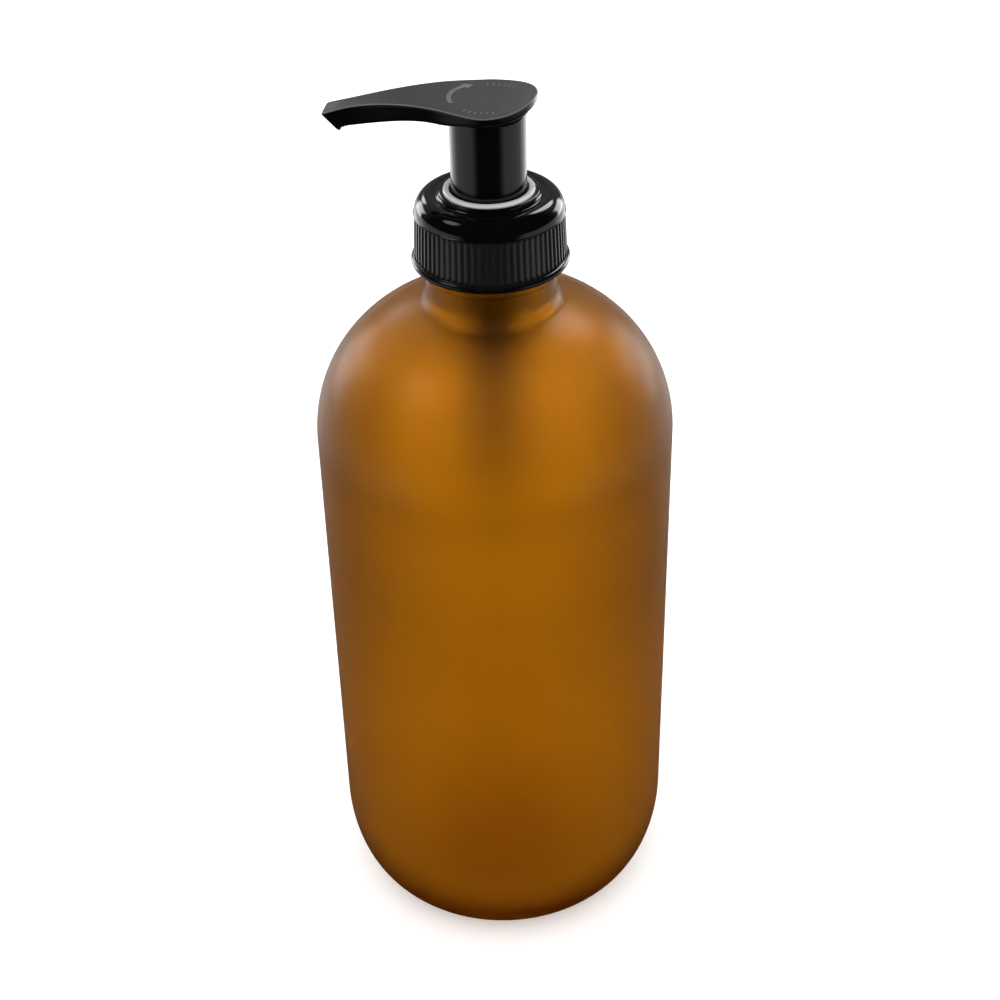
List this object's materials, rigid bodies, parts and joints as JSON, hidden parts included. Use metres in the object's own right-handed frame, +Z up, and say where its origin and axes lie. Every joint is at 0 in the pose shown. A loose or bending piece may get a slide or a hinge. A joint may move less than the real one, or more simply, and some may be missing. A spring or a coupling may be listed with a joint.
{
  "type": "pump oil bottle",
  "caption": "Frosted amber glass bottle with a black screw-on lotion pump: ribbed closure, turn-to-lock head with a drooping spout, and the working pump inside.",
  "frame": {"origin": "centre of the bottle's footprint, on the plane that it stands on", "axes": "+Z up along the bottle's and pump's common axis; the spout points along -X"},
  "size_m": [0.075, 0.075, 0.1932],
  "materials": {
    "amber_glass": "acid-etched satin outside, clear inside",
    "black_plastic": "glossy moulded polypropylene, satin on the thumb pad",
    "natural_plastic": "uncoloured moulded polypropylene",
    "gasket_foam": "closed-cell polyethylene foam",
    "tube_plastic": "extruded polyethylene",
    "piston_plastic": "soft moulded polyethylene",
    "spring_steel": "drawn stainless wire",
    "ball_steel": "polished stainless steel"
  },
  "bodies": {
    "glass": {"bottle": "amber_glass"},
    "pump_core": {"pump_housing": "black_plastic", "locking_collar": "natural_plastic", "neck_gasket": "gasket_foam", "dip_tube": "tube_plastic"},
    "cap": {"closure": "black_plastic"},
    "spring_stage": {"return_spring": "spring_steel"},
    "head": {"actuator_head": "black_plastic", "stem": "natural_plastic", "piston_seat": "natural_plastic"},
    "piston_float": {"piston": "piston_plastic"},
    "check_ball": {"inlet_check_ball": "ball_steel"}
  },
  "joints": [
    {"name": "unscrew_lift", "type": "slide", "parent": "glass", "child": "pump_core", "axis": [0, 0, 1], "range_m": [0, 0.00529]},
    {"name": "closure_turn", "type": "hinge", "parent": "pump_core", "child": "cap", "pos_m": [0, 0, 0.165], "axis": [0, 0, 1], "range_deg": [0, 450]},
    {"name": "lock_turn", "type": "hinge", "parent": "pump_core", "child": "spring_stage", "pos_m": [0, 0, 0.17], "axis": [0, 0, 1], "range_deg": [0, 90]},
    {"name": "press", "type": "slide", "parent": "spring_stage", "child": "head", "axis": [0, 0, 1], "range_m": [-0.014, 0], "stiffness_N_per_m": 700, "springref_m": 0.008, "deforming": ["return_spring"]},
    {"name": "piston_lag", "type": "slide", "parent": "head", "child": "piston_float", "axis": [0, 0, 1], "range_m": [0, 0.0012]},
    {"name": "ball_lift", "type": "slide", "parent": "pump_core", "child": "check_ball", "axis": [0, 0, 1], "range_m": [0, 0.0015]}
  ],
  "couplings": [
    {"joint": "closure_turn", "follows": "unscrew_lift", "rad_per_m": 1484.2}
  ]
}
